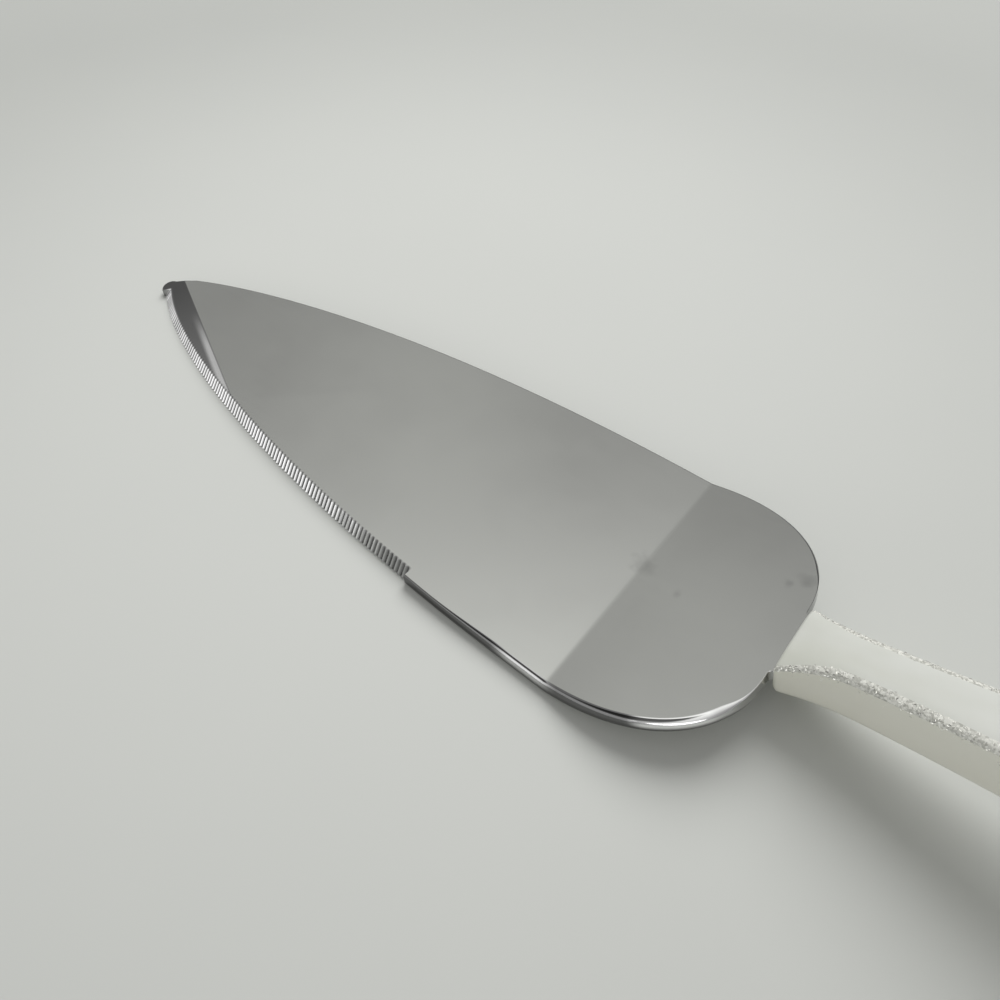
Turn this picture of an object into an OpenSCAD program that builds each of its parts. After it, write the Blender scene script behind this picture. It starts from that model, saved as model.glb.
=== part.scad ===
// Cake server: one stamped steel blade, serrated along its near edge, in a pearl handle.
// X runs from the tip to the end of the handle, and Z is up.
// The flat front of the blade lies on the table. The origin is on the table, under the
// middle of the whole server.

/* [Blade] */
// Thickness of the steel sheet
sheet_t = 2.4; // [1.8:0.1:2.8]
// Width of the blade at its bend
blade_w = 54.6; // [44:0.2:64]
// Length from the bend forward to the tip
front_l = 139.8; // [110:0.2:160]
// Length from the bend back to the handle
heel_l = 28.5; // [22:0.5:34]
// Angle at which the heel climbs from the flat front
bend_angle = 14.5; // [8:0.5:20]
// Width of the steel where it meets the handle
neck_w = 12.4; // [9:0.2:13]
// Radius of the hollow curves between the heel and the neck
neck_r = 0.7; // [0.5:0.1:3]
// Distance that the heel keeps its full width behind the bend
full_width_l = 1; // [0.6:0.1:4]
// How much fuller the near side is than the far side, towards the tip
near_bulge = 1; // [0:0.1:2]

/* [Nose] */
// Radius of the rounded nose
nose_r = 2.3; // [2:0.1:3]
// How far the nose's middle lies to the near side
nose_side = 1; // [0.8:0.1:1.3]
// How much the rounded nose shortens the leaf outline
nose_cut = 0.2; // [0.1:0.1:0.8]
// Length of the plain hook at the near side of the nose
hook_l = 1.9; // [1.7:0.1:2.4]

/* [Ground edge] */
// Width of the steep serrated bevel, seen from above
bevel_w = 1.6; // [1:0.1:2]
// Distance that the ground edge lies inside the stamped outline
edge_inset = 0.15; // [0.1:0.05:0.3]
// Distance from the bend to the first serration
serration_start = 32; // [15:0.5:60]
// Distance from one serration to the next
serration_pitch = 1.07; // [0.9:0.01:2.5]
// Depth of a serration
serration_depth = 0.35; // [0.2:0.05:0.5]
// Length of the flat ground beside the tip
grind_l = 54; // [30:1:70]
// How far behind the tip the ground flat starts, on the far side of the nose
grind_nose = 3; // [2:0.1:5]
// Slope of the ground flat
grind_angle = 7; // [4:0.5:10]

/* [Tang] */
// Length of the tang inside the handle
tang_l = 42; // [25:1:60]
// Width of the tang
tang_w = 4.4; // [3:0.2:5]
// Thickness of the bonding resin round the tang
bond_gap = 0.6; // [0.4:0.1:0.7]

/* [Handle] */
// Length of the handle
handle_l = 115; // [95:1:135]
// Height of the handle where it meets the neck
front_h = 7.9; // [7.4:0.1:9]
// Height of the handle at its waist
waist_h = 11.2; // [9.6:0.2:12.6]
// Height of the handle at its end
rear_h = 14; // [11:0.5:17]
// Height of the handle's top face above the steel, at its front
top_rise = 2.1; // [2:0.1:3]
// Width of the handle where it meets the neck
front_w = 13.8; // [13.6:0.2:18]
// Width of the handle at its waist
waist_w = 9; // [8.6:0.2:12]
// Distance from the front of the handle to its waist
waist_l = 11; // [8:1:20]
// Greatest width of the handle, near its end
rear_w = 21; // [16:0.5:28]
// Length of the rounded end of the handle
end_r = 11; // [7:0.5:16]
// Angle by which the handle bows down towards its end
arch_angle = 11; // [4:0.5:14]
// Thickness of the handle's top cover
cover_t = 1.2; // [1:0.1:1.2]
// Width of each glitter strip
strip_w = 1.3; // [1:0.1:2]
// Wall of the hollow in the handle's lower shell
shell_wall = 2; // [1.4:0.1:2.6]

/* [Hidden] */
$fn = 64;

// Points along the curved outlines
EDGE_STEPS = 20;
CORNER_STEPS = 12;
FILLET_STEPS = 6;
FRONT_STEPS = 6;
HANDLE_STEPS = 18;
END_STEPS = 8;

// How full the leaf outline is: its width is blade_w * (1 - share^power)^power
LEAF_LENGTH_POWER = 2.13;
LEAF_WIDTH_POWER = 0.75;
// How late the near side's extra fullness comes
BULGE_POWER = 3.3;
// The share of its length at which the far side leaves the leaf for the nose
leaf_end_share = 0.957;
// Where the far side ends, inside the nose: an angle, and a share of the nose's radius
NOSE_ANGLE = 115;
nose_end_share = 0.9;
// How square the heel's corners are: 2 is an ellipse
CORNER_POWER = 2.25;
// How much closer together the points of the ground edge come towards the tip
EDGE_SWEEP = 80;
// The part of the waist's extra height that stands above the steel
rise_share = 0.55;
// A serration's width at the bevel, as a share of the pitch
groove_width_share = 0.8;
// How far a cut runs past what it cuts
overrun = sheet_t / 2;

// The handle is straight over the tang and bows down behind it
straight_l = tang_l + 2 * bond_gap;
arch_r = (handle_l - straight_l) / tan(arch_angle);
// The glitter strips end where the rounded end begins
strip_l = handle_l - end_r;

// Leaf outline of the front, as half widths at shares of its length
leaf_l = front_l + nose_cut;
function leaf_half(share) =
    blade_w / 2 * pow(1 - pow(share, LEAF_LENGTH_POWER), LEAF_WIDTH_POWER);
function leaf_point(share, side) = [-share * leaf_l, side * leaf_half(share)];
function near_point(share) =
    leaf_point(share, -1) - [0, near_bulge * pow(sin(90 * share), BULGE_POWER)];
start_share = serration_start / leaf_l;
end_share = (front_l - hook_l) / leaf_l;
ground_shares = [
    for (i = [0:EDGE_STEPS])
        start_share
            + (end_share - start_share)
            * sin(EDGE_SWEEP * i / EDGE_STEPS) / sin(EDGE_SWEEP)
];

// Ground edge from the first serration to the last, and the run of each of its points
function ground_point(share) =
    [
        near_point(share).x * (1 - edge_inset / leaf_l),
        near_point(share).y * (1 - 2 * edge_inset / blade_w),
    ];
ground_points = [for (share = ground_shares) ground_point(share)];
function run_to(i) =
    i == 0 ? 0 : run_to(i - 1) + norm(ground_points[i] - ground_points[i - 1]);
ground_runs = [for (i = [0:EDGE_STEPS]) run_to(i)];
bevel_l = norm([bevel_w, sheet_t]);

// Stamped outline of the front, whose two sides end inside the round nose
step_share = 0.93 * start_share;
near_shares = concat(
    [0, step_share / 2, step_share],
    [for (i = [1:EDGE_STEPS]) ground_shares[i]]
);
far_shares = [for (i = [0:EDGE_STEPS]) leaf_end_share * sin(90 * i / EDGE_STEPS)];
nose_centre = [nose_r - front_l, -nose_side];
nose_end =
    nose_centre + nose_end_share * nose_r * [cos(NOSE_ANGLE), sin(NOSE_ANGLE)];
front_outline = concat(
    [for (share = near_shares) near_point(share)],
    [nose_end],
    [for (i = [EDGE_STEPS:-1:0]) leaf_point(far_shares[i], 1)]
);

// Heading of the straight line between two points
function heading(a, b) = atan2(b.y - a.y, b.x - a.x);

// Heel outline on its far side: a full corner, then a hollow curve into the neck
corner_l = heel_l - neck_r - full_width_l;
corner_h = blade_w / 2 - neck_w / 2 - neck_r;
heel_corner = [
    for (i = [0:CORNER_STEPS])
        let (angle = 90 * i / CORNER_STEPS)
            [
                full_width_l + corner_l * pow(sin(angle), 2 / CORNER_POWER),
                neck_w / 2 + neck_r + corner_h * pow(cos(angle), 2 / CORNER_POWER),
            ]
];
neck_curve = [
    for (i = [1:FILLET_STEPS])
        let (angle = 90 * i / FILLET_STEPS)
            [
                heel_l - neck_r * cos(angle),
                neck_w / 2 + neck_r - neck_r * sin(angle),
            ]
];

// A side's points, then the same points mirrored, in reverse order
function mirrored(points) =
    concat(points, [for (i = [len(points) - 1:-1:0]) [points[i].x, -points[i].y]]);

// Share of the way from the handle's flared front to its waist
function waist_share(x) = x < waist_l ? 1 - pow(1 - x / waist_l, 2) : 1;

// Side view of the handle, with zero height at the steel's top face
function arch_z(x) = -pow(max(0, x - straight_l), 2) / (2 * arch_r);
function handle_h(x) =
    front_h
    + (waist_h - front_h) * waist_share(x)
    + (rear_h - waist_h) * max(0, x - waist_l) / (handle_l - waist_l);
function top_z(x) =
    top_rise + rise_share * (waist_h - front_h) * waist_share(x) + arch_z(x);
function seam_z(x) = top_z(x) - cover_t;
function bottom_z(x) = top_z(x) - handle_h(x);

// Plan of the handle: a flared front, a waist, a wide rear and a round end
function rear_share(x) =
    (1 - cos(180 * max(0, x - waist_l) / (handle_l - waist_l))) / 2;
function flared_half(x) =
    front_w / 2
    - (front_w - waist_w) / 2 * waist_share(x)
    + (rear_w - waist_w) / 2 * rear_share(x);
function round_share(x) =
    x > strip_l ? sqrt(max(0, 1 - pow((x - strip_l) / end_r, 2))) : 1;
function handle_half(x) = flared_half(x) * round_share(x);

strip_stations = concat(
    [for (i = [0:FRONT_STEPS - 1]) waist_l * i / FRONT_STEPS],
    [
        for (i = [0:HANDLE_STEPS])
            waist_l + (strip_l - waist_l) * i / HANDLE_STEPS
    ]
);
end_stations = [for (i = [1:END_STEPS - 1]) strip_l + end_r * sin(90 * i / END_STEPS)];
handle_stations = concat(strip_stations, end_stations, [handle_l]);
hollow_stations = [
    for (i = [0:HANDLE_STEPS])
        straight_l + (strip_l - straight_l) * i / HANDLE_STEPS
];

// The whole length on the table, from the tip to the lower corner of the handle's end
rear_x = (heel_l + handle_l) * cos(bend_angle) - bottom_z(handle_l) * sin(bend_angle);
middle_x = (rear_x - front_l) / 2;

// Moves the parts from the bend to the origin under the middle
module from_bend() {
    translate([-middle_x, 0, 0]) children();
}

// Frame of the heel: X along it from the bend, zero height at its top face
module on_heel() {
    translate([0, 0, sheet_t]) rotate([0, -bend_angle, 0]) children();
}

// Frame of the handle: X along it from its front, zero height at the steel's top face
module on_handle() {
    on_heel() translate([heel_l, 0, 0]) children();
}

// Frame of one stretch of the near edge's bevel: X along it, Y square to its face, with
// its zero on the table
module on_bevel(i) {
    translate([ground_points[i].x, ground_points[i].y, 0])
        rotate([0, 0, heading(ground_points[i], ground_points[i + 1])])
            rotate([atan2(bevel_w, sheet_t), 0, 0])
                children();
}

// What the serrated bevel removes along one stretch of the near edge
module bevel_cut(i) {
    stretch_l = ground_runs[i + 1] - ground_runs[i];
    behind = i == 0 ? 0 : overrun;
    ahead = i == EDGE_STEPS - 1 ? 0 : overrun;
    on_bevel(i)
        translate([-behind, 0, -bevel_l])
            cube([behind + stretch_l + ahead, 2 * bevel_w, 3 * bevel_l]);
}

// One serration: a V straight down the bevel, a distance along its stretch
module serration_cut(i, along) {
    groove_w = groove_width_share * serration_pitch;
    on_bevel(i)
        translate([along, 0, -bevel_l])
            linear_extrude(3 * bevel_l)
                polygon([
                    [-groove_w, serration_depth],
                    [groove_w, serration_depth],
                    [0, -serration_depth],
                ]);
}

// Serrations at an even pitch over the whole ground edge, clear of its vertices
module serrations() {
    for (i = [0:EDGE_STEPS - 1]) {
        stretch_l = ground_runs[i + 1] - ground_runs[i];
        count = floor(stretch_l / serration_pitch);
        for (k = [0:1:count - 1])
            serration_cut(i, (k + 1 / 2) * stretch_l / count);
    }
}

// The flat ground beside the tip, between the nose and the near edge
module tip_grind() {
    nose = leaf_point((front_l - grind_nose) / leaf_l, 1);
    runout = leaf_point((front_l - grind_l) / leaf_l, -1);
    chord = norm(nose - runout);
    translate([runout.x, runout.y, sheet_t])
        rotate([0, 0, heading(runout, nose)])
            rotate([-grind_angle, 0, 0])
                translate([-grind_l, 0, 0])
                    cube([chord + 2 * grind_l, blade_w, 2 * sheet_t]);
}

// The bent sheet seen from its side
module bent_profile() {
    steel_l = heel_l + tang_l;
    c = cos(bend_angle);
    s = sin(bend_angle);
    polygon([
        [-front_l - overrun, 0],
        [sheet_t * tan(bend_angle / 2), 0],
        [steel_l * c + sheet_t * s, sheet_t + steel_l * s - sheet_t * c],
        [steel_l * c, sheet_t + steel_l * s],
        [0, sheet_t],
        [-front_l - overrun, sheet_t],
    ]);
}

// The bent sheet seen from above, with the tang's end left to the side view
module blade_plan() {
    heel_side = concat(
        heel_corner,
        neck_curve,
        [[heel_l, tang_w / 2], [heel_l + tang_l + 2 * overrun, tang_w / 2]]
    );
    polygon(concat(
        front_outline,
        mirrored([for (p = heel_side) [p.x * cos(bend_angle), p.y]])
    ));
}

// The whole steel piece
module blade() {
    color("silver")
        from_bend()
            difference() {
                intersection() {
                    rotate([90, 0, 0])
                        linear_extrude(2 * blade_w, center = true) bent_profile();
                    union() {
                        translate([0, 0, -overrun])
                            linear_extrude(blade_w) blade_plan();
                        translate([nose_centre.x, nose_centre.y, -overrun])
                            cylinder(r = nose_r, h = blade_w);
                    }
                }
                for (i = [0:EDGE_STEPS - 1]) bevel_cut(i);
                serrations();
                tip_grind();
            }
}

// The pocket for the tang, open at the handle's front
module tang_pocket(front_overrun) {
    pocket_l = tang_l + bond_gap;
    pocket_w = tang_w + 2 * bond_gap;
    pocket_h = sheet_t + 2 * bond_gap;
    translate([-front_overrun, -pocket_w / 2, bond_gap - pocket_h])
        cube([pocket_l + front_overrun, pocket_w, pocket_h]);
}

// Resin that fills the pocket round the tang
module tang_bond() {
    color("tan")
        from_bend()
            on_handle()
                difference() {
                    tang_pocket(0);
                    translate([-overrun, -tang_w / 2, -sheet_t])
                        cube([tang_l + overrun, tang_w, sheet_t]);
                }
}

// A slice of the handle: a side view, its upper and lower lines given, cut to a plan
module handle_slice(stations, upper, lower, plan) {
    intersection() {
        rotate([90, 0, 0])
            linear_extrude(2 * rear_w, center = true)
                polygon(concat(
                    [for (i = [0:len(stations) - 1]) [stations[i], lower[i]]],
                    [
                        for (i = [len(stations) - 1:-1:0])
                            [stations[i], upper[i]]
                    ]
                ));
        translate([0, 0, -handle_l]) linear_extrude(2 * handle_l) polygon(plan);
    }
}

// The full plan of the handle
handle_plan = concat(
    [for (x = handle_stations) [x, handle_half(x)]],
    [
        for (i = [len(handle_stations) - 2:-1:0])
            [handle_stations[i], -handle_half(handle_stations[i])]
    ]
);

// The hollow behind the tang, open at the seam
module rear_hollow() {
    handle_slice(
        hollow_stations,
        [for (x = hollow_stations) seam_z(x) + overrun],
        [for (x = hollow_stations) bottom_z(x) + shell_wall],
        mirrored([for (x = hollow_stations) [x, handle_half(x) - shell_wall]])
    );
}

// Lower shell of the handle: its sides, its underside and its front
module handle_base() {
    color("ivory")
        from_bend()
            on_handle()
                difference() {
                    handle_slice(
                        handle_stations,
                        [for (x = handle_stations) seam_z(x)],
                        [for (x = handle_stations) bottom_z(x)],
                        handle_plan
                    );
                    tang_pocket(overrun);
                    rear_hollow();
                }
}

// Top cover, between the glitter strips and over the round end
module handle_cover() {
    inner_side = [for (x = strip_stations) [x, handle_half(x) - strip_w]];
    end_side = [
        for (x = concat([strip_l], end_stations))
            [x, handle_half(x)]
    ];
    color("white")
        from_bend()
            on_handle()
                handle_slice(
                    handle_stations,
                    [for (x = handle_stations) top_z(x)],
                    [for (x = handle_stations) seam_z(x)],
                    concat(
                        inner_side,
                        end_side,
                        [[handle_l, 0]],
                        [
                            for (i = [len(end_side) - 1:-1:0])
                                [end_side[i].x, -end_side[i].y]
                        ],
                        [
                            for (i = [len(inner_side) - 1:-1:0])
                                [inner_side[i].x, -inner_side[i].y]
                        ]
                    )
                );
}

// A glitter strip along one top edge, on the side given: -1 is near, 1 is far
module glitter_strip(side) {
    color("lightgray")
        from_bend()
            on_handle()
                handle_slice(
                    strip_stations,
                    [for (x = strip_stations) top_z(x)],
                    [for (x = strip_stations) seam_z(x)],
                    concat(
                        [for (x = strip_stations) [x, side * handle_half(x)]],
                        [
                            for (i = [len(strip_stations) - 1:-1:0])
                                let (x = strip_stations[i])
                                    [x, side * (handle_half(x) - strip_w)]
                        ]
                    )
                );
}

module near_glitter_strip() {
    glitter_strip(-1);
}

module far_glitter_strip() {
    glitter_strip(1);
}

blade();
tang_bond();
handle_base();
handle_cover();
near_glitter_strip();
far_glitter_strip();
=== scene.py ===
"""Looks of the cake server: satin steel, pearl handle, glitter strips, pale table."""

import math
import random

import bmesh
import bpy
from mathutils import Matrix, Vector


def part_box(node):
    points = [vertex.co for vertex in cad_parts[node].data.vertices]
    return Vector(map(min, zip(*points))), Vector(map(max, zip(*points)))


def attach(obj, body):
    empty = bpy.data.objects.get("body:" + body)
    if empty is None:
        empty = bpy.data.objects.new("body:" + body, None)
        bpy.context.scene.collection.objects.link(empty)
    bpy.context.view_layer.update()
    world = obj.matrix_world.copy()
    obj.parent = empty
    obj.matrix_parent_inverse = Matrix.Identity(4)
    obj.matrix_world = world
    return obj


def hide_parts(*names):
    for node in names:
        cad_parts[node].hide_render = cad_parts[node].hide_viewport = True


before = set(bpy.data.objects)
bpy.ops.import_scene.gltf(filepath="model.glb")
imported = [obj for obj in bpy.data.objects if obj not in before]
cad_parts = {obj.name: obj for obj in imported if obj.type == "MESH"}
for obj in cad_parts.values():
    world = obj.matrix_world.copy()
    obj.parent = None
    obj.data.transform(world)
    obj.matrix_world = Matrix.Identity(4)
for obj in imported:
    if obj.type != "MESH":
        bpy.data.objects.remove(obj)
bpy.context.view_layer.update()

# Sizes, in millimetres, with the names that the part's source gives them
MM = 0.001
SHEET_T = 2.4
BLADE_W = 54.6
FRONT_L = 139.8
HEEL_L = 28.5
BEND_ANGLE = math.radians(14.5)
NECK_W = 12.4
NECK_R = 0.7
FULL_WIDTH_L = 1
NEAR_BULGE = 1
NOSE_R = 2.3
NOSE_SIDE = 1
NOSE_CUT = 0.2
HOOK_L = 1.9
EDGE_INSET = 0.15
SERRATION_START = 32
SERRATION_PITCH = 1.07
SERRATION_DEPTH = 0.35
GRIND_L = 54
GRIND_NOSE = 3
GRIND_ANGLE = math.radians(7)
TANG_L = 42
TANG_W = 4.4
BOND_GAP = 0.6
HANDLE_L = 115
FRONT_H = 7.9
WAIST_H = 11.2
REAR_H = 14
TOP_RISE = 2.1
FRONT_W = 13.8
WAIST_W = 9
WAIST_L = 11
REAR_W = 21
END_R = 11
ARCH_ANGLE = math.radians(11)
COVER_T = 1.2
STRIP_W = 1.3
LEAF_LENGTH_POWER = 2.13
LEAF_WIDTH_POWER = 0.75
LEAF_END_SHARE = 0.957
BULGE_POWER = 3.3
NOSE_ANGLE = math.radians(115)
NOSE_END_SHARE = 0.9
CORNER_POWER = 2.25
RISE_SHARE = 0.55

LEAF_L = FRONT_L + NOSE_CUT
STRAIGHT_L = TANG_L + 2 * BOND_GAP
ARCH_R = (HANDLE_L - STRAIGHT_L) / math.tan(ARCH_ANGLE)
STRIP_L = HANDLE_L - END_R
# Where the bend's crease lies along X
CREASE_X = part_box("blade")[0][0] / MM + FRONT_L


def smoothstep(low, high, x):
    """Smooth step from 0 at the low value to 1 at the high one."""
    share = min(1, max(0, (x - low) / (high - low)))
    return share * share * (3 - 2 * share)


# ---------------------------------------------------------------- mesh helpers


def new_piece(name, verts, faces, material, node, flat_faces=()):
    """A mesh piece from points in millimetres, dressed and tied to the frame."""
    mesh = bpy.data.meshes.new(name)
    mesh.from_pydata([Vector(v) * MM for v in verts], [], faces)
    mesh.validate()
    flat = set(flat_faces)
    for polygon in mesh.polygons:
        polygon.use_smooth = polygon.index not in flat
    piece = bpy.data.objects.new(name, mesh)
    bpy.context.scene.collection.objects.link(piece)
    mesh.materials.append(material)
    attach(piece, "root")
    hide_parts(node)
    return piece


def mark_sharp(piece, degrees):
    """Keeps edges crisp where faces meet at more than this angle."""
    piece.data.set_sharp_from_angle(angle=math.radians(degrees))


def bridge(loop_a, loop_b):
    """Quads between two closed loops of vertex numbers."""
    count = len(loop_a)
    return [
        (loop_a[i], loop_a[(i + 1) % count], loop_b[(i + 1) % count], loop_b[i])
        for i in range(count)
    ]


# ------------------------------------------------------------------- materials


def shader(name, base, roughness, metallic=0.0):
    """A new material, its node tree and its Principled shader."""
    material = bpy.data.materials.new(name)
    material.use_nodes = True
    tree = material.node_tree
    principled = tree.nodes["Principled BSDF"]
    principled.inputs["Base Color"].default_value = (*base, 1)
    principled.inputs["Roughness"].default_value = roughness
    principled.inputs["Metallic"].default_value = metallic
    return material, tree, principled


def link(tree, source, target):
    """Joins two sockets."""
    tree.links.new(source, target)


def add(tree, kind, **settings):
    """A new node of a kind, with its settings."""
    node = tree.nodes.new(kind)
    for key, value in settings.items():
        setattr(node, key, value)
    return node


def texture_place(tree, scale):
    """Object coordinates, stretched by a scale along each axis."""
    place = add(tree, "ShaderNodeTexCoord")
    mapping = add(tree, "ShaderNodeMapping")
    mapping.inputs["Scale"].default_value = scale
    link(tree, place.outputs["Object"], mapping.inputs["Vector"])
    return mapping.outputs["Vector"]


def noise(tree, vector, scale, detail, rough):
    """Soft noise from 0 to 1, with its scale, its octaves and their weight."""
    node = add(tree, "ShaderNodeTexNoise")
    node.inputs["Scale"].default_value = scale
    node.inputs["Detail"].default_value = detail
    node.inputs["Roughness"].default_value = rough
    link(tree, vector, node.inputs["Vector"])
    return node.outputs["Fac"]


def remap(tree, value, low, high, to_low, to_high):
    """A value carried in a straight line from one range to another."""
    node = add(tree, "ShaderNodeMapRange")
    for key, number in (
        ("From Min", low),
        ("From Max", high),
        ("To Min", to_low),
        ("To Max", to_high),
    ):
        node.inputs[key].default_value = number
    link(tree, value, node.inputs["Value"])
    return node.outputs["Result"]


def mix_colour(tree, factor, first, second):
    """Mix of two written colours."""
    node = add(tree, "ShaderNodeMix", data_type="RGBA")
    node.inputs["A"].default_value = (*first, 1)
    node.inputs["B"].default_value = (*second, 1)
    link(tree, factor, node.inputs["Factor"])
    return node.outputs["Result"]


def grey(tree, level):
    """A neutral colour of a given level."""
    node = add(tree, "ShaderNodeCombineColor")
    for channel in ("Red", "Green", "Blue"):
        link(tree, level, node.inputs[channel])
    return node.outputs["Color"]


def blend(tree, factor, first, second):
    """Mix of two colours that come from other nodes."""
    node = add(tree, "ShaderNodeMix", data_type="RGBA")
    link(tree, factor, node.inputs["Factor"])
    link(tree, first, node.inputs["A"])
    link(tree, second, node.inputs["B"])
    return node.outputs["Result"]


def maths(tree, operation, first, second):
    """One sum of two values, each a number or a socket."""
    node = add(tree, "ShaderNodeMath", operation=operation)
    for socket, value in zip(node.inputs, (first, second)):
        if isinstance(value, (int, float)):
            socket.default_value = value
        else:
            link(tree, value, socket)
    return node.outputs["Value"]


def bump(tree, principled, height, strength, distance):
    """Fine relief of the surface, in metres at full height."""
    node = add(tree, "ShaderNodeBump")
    node.inputs["Strength"].default_value = strength
    node.inputs["Distance"].default_value = distance
    link(tree, height, node.inputs["Height"])
    link(tree, node.outputs["Normal"], principled.inputs["Normal"])


def attribute(tree, name):
    """A value that the mesh carries at its points."""
    return add(tree, "ShaderNodeAttribute", attribute_name=name).outputs["Fac"]


def soft_range(tree, value, low, high):
    """Smooth step from 0 to 1 between two values."""
    node = add(tree, "ShaderNodeMapRange", interpolation_type="SMOOTHSTEP")
    node.inputs["From Min"].default_value = low
    node.inputs["From Max"].default_value = high
    link(tree, value, node.inputs["Value"])
    return node.outputs["Result"]


def ground_flat_painted_reflection(tree):
    """Where the ground flat beside the tip lies, and the painted reflection on it.

    Lengths across and along its straight edge are in millimetres; the painted reflection is
    dark near the nose, with one painted bright streak beside the edge farther back.
    """
    runout, across = grind_line()
    place = add(tree, "ShaderNodeTexCoord").outputs["Object"]
    parts = []
    for plan in (across, Vector((-across.y, across.x))):
        lead = add(tree, "ShaderNodeVectorMath", operation="DOT_PRODUCT")
        link(tree, place, lead.inputs[0])
        lead.inputs[1].default_value = (plan.x / MM, plan.y / MM, 0.0)
        origin = plan.x * (CREASE_X + runout.x) + plan.y * runout.y
        parts.append(maths(tree, "SUBTRACT", lead.outputs["Value"], origin))
    beyond, along = parts
    height = add(tree, "ShaderNodeSeparateXYZ")
    link(tree, place, height.inputs["Vector"])
    on_top = soft_range(tree, height.outputs["Z"], 0.0005, 0.001)
    on_flat = maths(tree, "MULTIPLY", soft_range(tree, beyond, 0.0, 0.25), on_top)
    rise = soft_range(tree, beyond, 0.1, 0.6)
    fall = maths(tree, "SUBTRACT", 1.0, soft_range(tree, beyond, 0.9, 2.2))
    streak = maths(tree, "MULTIPLY", rise, fall)
    streak = maths(tree, "MULTIPLY", streak, soft_range(tree, along, -42.0, -24.0))
    level = remap(tree, along, -52.0, -16.0, 0.17, 0.36)
    level = maths(tree, "ADD", level, maths(tree, "MULTIPLY", streak, 0.75))
    return on_flat, level


# Painted dark reflections on the steel: place in millimetres, radius and strength
DARK_REFLECTION_PATCHES = (
    ((0.1, 2.6), 3.4, 0.2),
    ((8.4, -0.35), 1.2, 0.16),
    ((23.0, 11.0), 1.2, 0.22),
    ((25.3, 12.4), 2.2, 0.24),
)


def painted_dark_reflections(tree, cloud):
    """Painted dark reflections: soft, uneven dark patches round a few places on the steel.
    """
    uneven = (0.6, 1.5)
    place = add(tree, "ShaderNodeTexCoord").outputs["Object"]
    total = None
    for (run, y), radius, strength in DARK_REFLECTION_PATCHES:
        away = add(tree, "ShaderNodeVectorMath", operation="DISTANCE")
        link(tree, place, away.inputs[0])
        away.inputs[1].default_value = [c * MM for c in sheet_point(run, y, SHEET_T)]
        stretch = remap(tree, cloud, 0.3, 0.7, *uneven)
        wavy = maths(tree, "MULTIPLY", away.outputs["Value"], stretch)
        mask = maths(tree, "SUBTRACT", 1.0, soft_range(tree, wavy, 0.0, radius * MM))
        mask = maths(tree, "MULTIPLY", mask, strength)
        total = mask if total is None else maths(tree, "ADD", total, mask)
    return total


def steel_material():
    """Satin-polished stainless sheet: faint rolling lines, uneven tone and specks, with
    painted dark reflections, a painted reflection on the ground flat, and painted
    highlights and shade on the rim and serrations.
    """
    material, tree, principled = shader("polished_steel", (0.6, 0.6, 0.58), 0.2, 1.0)
    along = texture_place(tree, (60, 1400, 400))
    lines = noise(tree, along, 1.0, 3.0, 0.6)
    even = texture_place(tree, (1, 1, 1))
    tone_clouds = noise(tree, even, 38.0, 3.0, 0.55)
    spots = noise(tree, even, 95.0, 2.0, 0.5)
    smear_mask = remap(tree, tone_clouds, 0.45, 0.75, 0.0, 1.0)
    colour = mix_colour(tree, smear_mask, (0.605, 0.613, 0.588), (0.568, 0.575, 0.552))
    # Painted dark reflections: near-black patches at a few listed places on the steel
    painted_dark = painted_dark_reflections(tree, noise(tree, even, 420.0, 3.0, 0.6))
    colour = blend(tree, painted_dark, colour, grey(tree, remap(tree, tone_clouds, 0.0, 1.0, 0.1, 0.16)))
    # Painted reflection on the ground flat: dark near the nose, with a bright streak
    on_flat, level = ground_flat_painted_reflection(tree)
    colour = blend(tree, on_flat, colour, grey(tree, level))
    # The rim and serrations take painted highlights and painted shade from the mesh's
    # "shade" value
    edge = attribute(tree, "edge")
    colour = blend(tree, edge, colour, grey(tree, attribute(tree, "shade")))
    link(tree, colour, principled.inputs["Base Color"])
    rough_base = remap(tree, lines, 0.3, 0.7, 0.19, 0.24)
    spot_mask = remap(tree, spots, 0.6, 0.78, 0.0, 0.05)
    rough = maths(tree, "ADD", rough_base, spot_mask)
    polish = maths(tree, "SUBTRACT", 1.0, maths(tree, "MULTIPLY", edge, 0.5))
    link(tree, maths(tree, "MULTIPLY", rough, polish), principled.inputs["Roughness"])
    bump(tree, principled, lines, 0.05, 0.00002)
    return material


def pearl_material(name, pale, deep, roughness):
    """Glossy pearl plastic with soft clouds of shimmer under a clear skin."""
    material, tree, principled = shader(name, pale, roughness)
    place = texture_place(tree, (1, 2.2, 2.2))
    clouds = noise(tree, place, 32.0, 3.0, 0.6)
    grain = noise(tree, place, 120.0, 2.0, 0.5)
    colour = mix_colour(tree, remap(tree, clouds, 0.35, 0.68, 0.0, 1.0), pale, deep)
    link(tree, colour, principled.inputs["Base Color"])
    rough = remap(tree, grain, 0.3, 0.7, roughness - 0.02, roughness + 0.02)
    link(tree, rough, principled.inputs["Roughness"])
    principled.inputs["Coat Weight"].default_value = 0.5
    principled.inputs["Coat Roughness"].default_value = 0.12
    bump(tree, principled, clouds, 0.08, 0.0001)
    return material


def bond_material():
    """Cured resin, slightly cloudy."""
    material, tree, principled = shader("bonding_resin", (0.74, 0.72, 0.64), 0.45)
    place = texture_place(tree, (1, 1, 1))
    clouds = noise(tree, place, 260.0, 3.0, 0.6)
    colour = mix_colour(tree, clouds, (0.70, 0.67, 0.58), (0.80, 0.78, 0.71))
    link(tree, colour, principled.inputs["Base Color"])
    bump(tree, principled, clouds, 0.15, 0.0001)
    return material


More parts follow.
